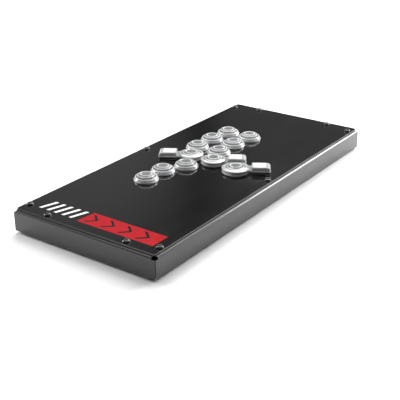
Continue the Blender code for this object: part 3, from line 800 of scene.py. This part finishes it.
def make_paddle(name, place, body, clear, white):
    """Bar and raised block beside a wide cap, with a white pad under its clear top."""
    turn = math.radians(PADDLE_DIRECTIONS[name])
    at = (*place, PLATE_TOP)
    edge = hole_of(name) + WIDE_CAP_REACH
    start = edge + BLOCK_GAP
    low, top = PADDLE_FOOT, BLOCK_TOP

    def shape(label, build, finish=None):
        return solid(label, build, finish, at, turn)

    paddle = shape(f"paddle_{name}", lambda b: loft(b, block_rings(start, 0.0, low, top)), clear)
    bar_length, bar_width = start + 2 * MM, 2 * (7.65 * MM)
    bar_levels = [(0.1 * MM, 0.4 * MM), (0.35 * MM, 0.0), (1.25 * MM, 0.0), (1.5 * MM, 0.4 * MM)]
    bar = shape("bar", lambda b: loft(b, [
        (low + height, rounded_rectangle(bar_length, bar_width - eased_by, 0.3 * MM, 2,
                                         (bar_length / 2, 0.0)))
        for height, eased_by in bar_levels]))
    carve(bar, shape("bore", lambda b: column(b, circle(edge - 0.3 * MM, ROUND), -OVER, 2 * top)))
    carve(paddle, bar, "UNION")
    carve(paddle, shape("hollow", lambda b: loft(
        b, block_rings(start, BLOCK_WALL, low - OVER, top))))

    groove_x, groove_half, groove_depth = start + 16.9 * MM, 0.5 * MM, 0.8 * MM
    groove_end = 9 * MM
    carve(paddle, shape("groove", lambda b: block(
        b, (groove_x - groove_half, -groove_end, top - groove_depth),
        (groove_x + groove_half, groove_end, top + OVER))))

    near, far = start + 2.4 * MM, groove_x - 0.9 * MM
    pad_width = BLOCK_WIDTH - 4.6 * MM

    def pad_outline(grown, corner):
        return rounded_rectangle(far - near + grown, pad_width + grown, corner, 4,
                                 ((near + far) / 2, 0.0))

    outline = pad_outline(0.0, 0.8 * MM)
    pad = shape(f"pad_{name}", lambda b: loft(b, [
        (top - 0.6 * MM, outline), (top - 0.02 * MM, outline),
        (top, pad_outline(-0.4 * MM, 0.7 * MM))]), white)
    carve(paddle, shape("recess", lambda b: column(
        b, pad_outline(0.2 * MM, 0.9 * MM), top - 0.65 * MM, top + OVER)))
    smooth(paddle)
    add_piece(paddle, body, "cap")
    smooth(pad)
    add_piece(pad, body, "cap")


def make_buttons(finishes):
    """Bezel, clear crown and milky core of each finger button, and the three paddles."""
    for name in BUTTONS:
        place = button_place(name)
        at = (*place, PLATE_TOP)
        body = f"{name}_cap"
        bezel = solid(f"collar_{name}", lambda b: turned(b, eased(bezel_profile(name), 0.25 * MM)),
                      finishes["low_bezel_painted_light" if name in PADDLE_DIRECTIONS else "bezel"], at)
        smooth(bezel)
        add_piece(bezel, "base", "bezel", f"bezel_{name}")
        profile = paddle_cap_profile(name) if name in PADDLE_DIRECTIONS else round_cap_profile(name)
        crown = solid(f"crown_{name}", lambda b: turned(b, eased(profile, 0.2 * MM)),
                      finishes["crown"], at)
        smooth(crown)
        add_piece(crown, body, "cap", f"cap_{name}")
        core = solid(f"core_{name}", lambda b: turned(
            b, eased(core_profile(name), 0.4 * MM), SMALL_ROUND), finishes["core"], at)
        smooth(core)
        add_piece(core, body, "cap")
        if name in PADDLE_DIRECTIONS:
            make_paddle(name, place, body, finishes["block"], finishes["pad"])


# ---------------------------------------------------------------- far wall

def lay_back(item, node):
    """Point a piece that was made along +Z towards +Y, with its foot on the far wall's outside."""
    middle = centre_of(node)
    item.location = (middle.x, DEPTH / 2, middle.z)
    item.rotation_euler = (-math.pi / 2, 0, 0)
    bpy.context.view_layer.update()


def make_function_buttons(finish):
    """Plungers with a collar that stops them inside the far wall, and a dished face."""
    profile = in_mm((0, -3.8), (2.5, -3.8), (2.5, -2.4), (3.4, -2.4), (3.4, -1.5), (2.5, -1.5),
                    (2.5, -0.1), (1.9, -0.12), (0, -0.3))
    for name in FUNCTIONS:
        button = solid(f"plunger_{name}", lambda b: turned(
            b, eased(profile, 0.25 * MM), SMALL_ROUND), finish)
        smooth(button)
        lay_back(button, f"{name}_button")
        add_piece(button, f"{name}_plunger", "function_button", f"{name}_button")


def make_socket(steel, black):
    """Reversible socket: a rolled shell, and a tongue with its row of contacts."""
    low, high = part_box("cable_socket")
    width, height = high.x - low.x, high.z - low.z
    back = low.y - DEPTH / 2
    front = high.y - DEPTH / 2
    walls = 0.6 * MM
    mouth_floor = front - 6.0 * MM
    shell = solid("socket_shell", lambda b: column(
        b, rounded_rectangle(width, height, height / 2 - 0.05 * MM), back, front), steel)
    inner = rounded_rectangle(width - walls, height - walls, height / 2 - 0.35 * MM)
    carve(shell, solid("mouth", lambda b: column(b, inner, mouth_floor, front + OVER)))
    ease_edges(shell, 0.08 * MM, 2, 50.0)
    smooth(shell)
    lay_back(shell, "cable_socket")
    add_piece(shell, "base", "socket", "cable_socket")
    tongue_half, tongue_thick = 3.35 * MM, 0.33 * MM
    tongue = solid("socket_tongue", lambda b: block(
        b, (-tongue_half, -tongue_thick, mouth_floor),
        (tongue_half, tongue_thick, front - 0.9 * MM)), black)
    ease_edges(tongue, 0.1 * MM, 2, 50.0)
    smooth(tongue)
    lay_back(tongue, "cable_socket")
    add_piece(tongue, "base", "function_button")
    pitch, half_wide, half_thick = 0.5, 0.1, 0.03 * MM
    contacts = solid("socket_contacts", lambda b: [
        block(b, ((pitch * i - half_wide) * MM, side - half_thick, front - 5.4 * MM),
              ((pitch * i + half_wide) * MM, side + half_thick, front - 1.3 * MM))
        for i in range(-5, 6) for side in (-0.35 * MM, 0.35 * MM)], steel)
    smooth(contacts)
    lay_back(contacts, "cable_socket")
    add_piece(contacts, "base", "socket")


# ---------------------------------------------------------------- printed band

PRINT_LIFT = 0.01 * MM
PRINT_THICKNESS = 0.03 * MM
BAND_LEFT, BAND_RIGHT = -188.7 * MM, -165.8 * MM
BAND_NEAR, BAND_FAR = -75.0 * MM, 16.3 * MM
BAND_SLANT = 1.5 * MM
ARROWHEADS = 4
BARS = 5


def print_layer(mesh_data, points):
    low = PLATE_TOP + PRINT_LIFT
    column(mesh_data, [Vector(p) for p in points], low, low + PRINT_THICKNESS)


def make_print(red, white):
    """A plain printed band: a red field with open arrowheads, and a rank of white bars beside it."""
    field = solid("print_field", lambda b: print_layer(b, [
        (BAND_LEFT, BAND_NEAR), (BAND_RIGHT, BAND_NEAR), (BAND_RIGHT, BAND_FAR - BAND_SLANT),
        (BAND_LEFT, BAND_FAR + BAND_SLANT)]), red)

    def arrowheads(mesh_data):
        middle = (BAND_LEFT + BAND_RIGHT) / 2
        half, rise, stroke = 8.2 * MM, 9.0 * MM, 3.8 * MM
        first, pitch = 12.0, 21.0
        for i in range(ARROWHEADS):
            tip = BAND_NEAR + (first + pitch * i) * MM
            lower = [(middle - half, tip + rise), (middle, tip), (middle + half, tip + rise)]
            upper = [(x, y + stroke) for x, y in reversed(lower)]
            column(mesh_data, [Vector(p) for p in lower + upper], PLATE_TOP - OVER, PLATE_TOP + OVER)

    carve(field, solid("arrowheads", arrowheads))
    add_piece(field, "base", "plate")

    def bars(mesh_data):
        left, right = BAND_LEFT + 2 * MM, BAND_RIGHT - 2 * MM
        first, pitch = 6.0, 10.0
        rise, fall, stroke = 4.0 * MM, 2.0 * MM, 3.6 * MM
        for i in range(BARS):
            near = BAND_FAR + (first + pitch * i) * MM
            print_layer(mesh_data, [(left, near + rise), (right, near - fall),
                                    (right, near - fall + stroke), (left, near + rise + stroke)])

    add_piece(solid("print_bars", bars, white), "base", "plate")


# ---------------------------------------------------------------- studio

def make_floor():
    """A sheet of paper whose face is a hair below the table's level, clear of the mat."""
    half, foot, face = 6.0, -20.0 * MM, -0.2 * MM
    floor = solid("studio_floor", lambda b: block(b, (-half, -half, foot), (half, half, face)),
                  floor_paper())


def soft_box(name, place, aim, size, power):
    """A white area light in watts, hidden from the camera."""
    light = bpy.data.lights.new(name, "AREA")
    light.shape = "RECTANGLE"
    light.size, light.size_y = size
    light.energy = power
    item = bpy.data.objects.new(name, light)
    item.location = place
    item.rotation_euler = (Vector(aim) - Vector(place)).to_track_quat("-Z", "Y").to_euler()
    item.visible_camera = False
    bpy.context.scene.collection.objects.link(item)


def make_world():
    """A dim grey room, lighter overhead and towards one side."""
    world = bpy.data.worlds.new("studio")
    world.use_nodes = True
    bpy.context.scene.world = world
    room = Nodes(world.node_tree)

    def reach(direction, low, high, to_low, to_high):
        """A value that changes with how far a direction points along another."""
        along = room.node("ShaderNodeVectorMath", {"operation": "DOT_PRODUCT"}, {
            0: room.node("ShaderNodeTexCoord", {}, {}, "Generated"), 1: direction}, "Value")
        return room.node("ShaderNodeMapRange", {"interpolation_type": "SMOOTHSTEP"},
                         {0: along, 1: low, 2: high, 3: to_low, 4: to_high})

    overhead = reach((0, 0, 1), 0.55, 0.95, 0.045, 0.55)
    side = reach((0.58, -0.815, 0), -0.01, 0.04, 0.0, 0.14)
    patch = reach((0.664, 0.644, 0.379), 0.986, 1.0, 0.0, 0.30)
    back = room.tree.nodes["Background"]
    room.plug(back.inputs["Color"], (1, 1, 1, 1))
    room.plug(back.inputs["Strength"], overhead + side + patch)


def make_camera():
    """Look at the target from an azimuth (0 is the near side), an elevation and a distance in mm."""
    azimuth, elevation, roll = (math.radians(a) for a in (-54.56, 24.41, -0.32))
    target = Vector((-35.4, -18.6, 1.0)) * MM
    distance = 922.6
    back = Vector((math.sin(azimuth) * math.cos(elevation),
                   -math.cos(azimuth) * math.cos(elevation), math.sin(elevation)))
    right = Vector((math.cos(azimuth), math.sin(azimuth), 0))
    up = back.cross(right)
    tilted_right = math.cos(roll) * right + math.sin(roll) * up
    tilted_up = math.cos(roll) * up - math.sin(roll) * right
    turn = Matrix((tilted_right, tilted_up, back)).transposed()
    data = bpy.data.cameras.new("camera")
    data.lens = 76.76
    data.clip_start, data.clip_end = 0.01, 50.0
    camera = bpy.data.objects.new("camera", data)
    camera.matrix_world = Matrix.Translation(target + back * distance * MM) @ turn.to_4x4()
    bpy.context.scene.collection.objects.link(camera)
    bpy.context.scene.camera = camera


def make_studio():
    make_floor()
    make_world()
    make_camera()
    soft_box("overhead", (0.80, 0.65, 1.45), (0, 0, 0), (1.3, 1.3), 28.5)
    soft_box("back_right", (1.25, 0.35, 1.05), (0, 0, 0), (0.7, 0.7), 9.0)
    soft_box("side_right", (0.80, -0.50, 0.26), (0.05, -0.05, 0.0), (0.4, 0.35), 11.0)
    soft_box("strip_right", (0.75, -0.42, 0.60), (0.0, -0.09, 0.02), (0.15, 0.55), 2.2)
    soft_box("strip_left", (-0.55, 0.80, 1.20), (-0.2, 0.0, 0.02), (0.3, 0.3), 1.4)
    soft_box("side_left", (-0.30, 0.75, 0.25), (-0.1, 0.0, 0.0), (0.4, 0.35), 5.5)
    bpy.context.scene.view_settings.view_transform = "Standard"


# ---------------------------------------------------------------- assembly

# Painted highlights and painted dark streaks of the clear plastic, as (radius in mm, level)
BEZEL_PAINTED_LIGHT = [(10.6, 0.4), (11.0, 0.85), (12.0, 0.95), (12.3, 0.45),
               (13.0, 0.50), (13.25, 0.95), (14.0, 0.95), (15.0, 0.3)]
CROWN_PAINTED_LIGHT = [(0.0, 0.24), (4.9, 0.28), (5.4, 0.5), (5.7, 0.9), (6.4, 0.9), (6.8, 0.30),
               (8.5, 0.34), (8.8, 0.9), (9.3, 0.9), (9.6, 0.28), (10.6, 0.32), (11.6, 0.6),
               (12.4, 0.8), (13.0, 0.45), (13.6, 0.6), (15.4, 0.6)]


def dress(node, finish):
    """Give a node that stays as it is a better finish."""
    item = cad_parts[node]
    item.data.materials.clear()
    item.data.materials.append(finish.material)


def make_all():
    """Every piece with its finish, then the studio."""
    steel = plated_steel()
    black = moulded_black()
    laminate = board_laminate()
    housing = switch_plastic()
    make_case(powder_coat())
    make_nuts_and_studs(steel)
    make_plate(gloss_black())
    make_screws(black_oxide())
    make_buttons({
        "bezel": plastic_with_painted_rings("clear_bezel", BEZEL_PAINTED_LIGHT, 0.2),
        "crown": plastic_with_painted_rings("clear_crown", CROWN_PAINTED_LIGHT, 0.3),
        # Painted light: the low bezels under the paddle caps take the white pad's finish, brighter
        # than their clear plastic would be in the shade under the caps.
        "low_bezel_painted_light": white_insert(), "core": milky_plastic(),
        "pad": white_insert(), "block": block_plastic()})
    make_function_buttons(black)
    make_socket(steel, black)
    make_print(ink("red_ink", (0.34, 0.003, 0.008, 1), (0.42, 0.006, 0.012, 1)),
               ink("white_ink", gray(0.78), gray(0.88)))
    dress("base_mat", mat_rubber())
    dress("main_board", laminate)
    dress("control_board", laminate)
    for name in BUTTONS:
        dress(f"switch_{name}", housing)
    make_studio()


make_all()
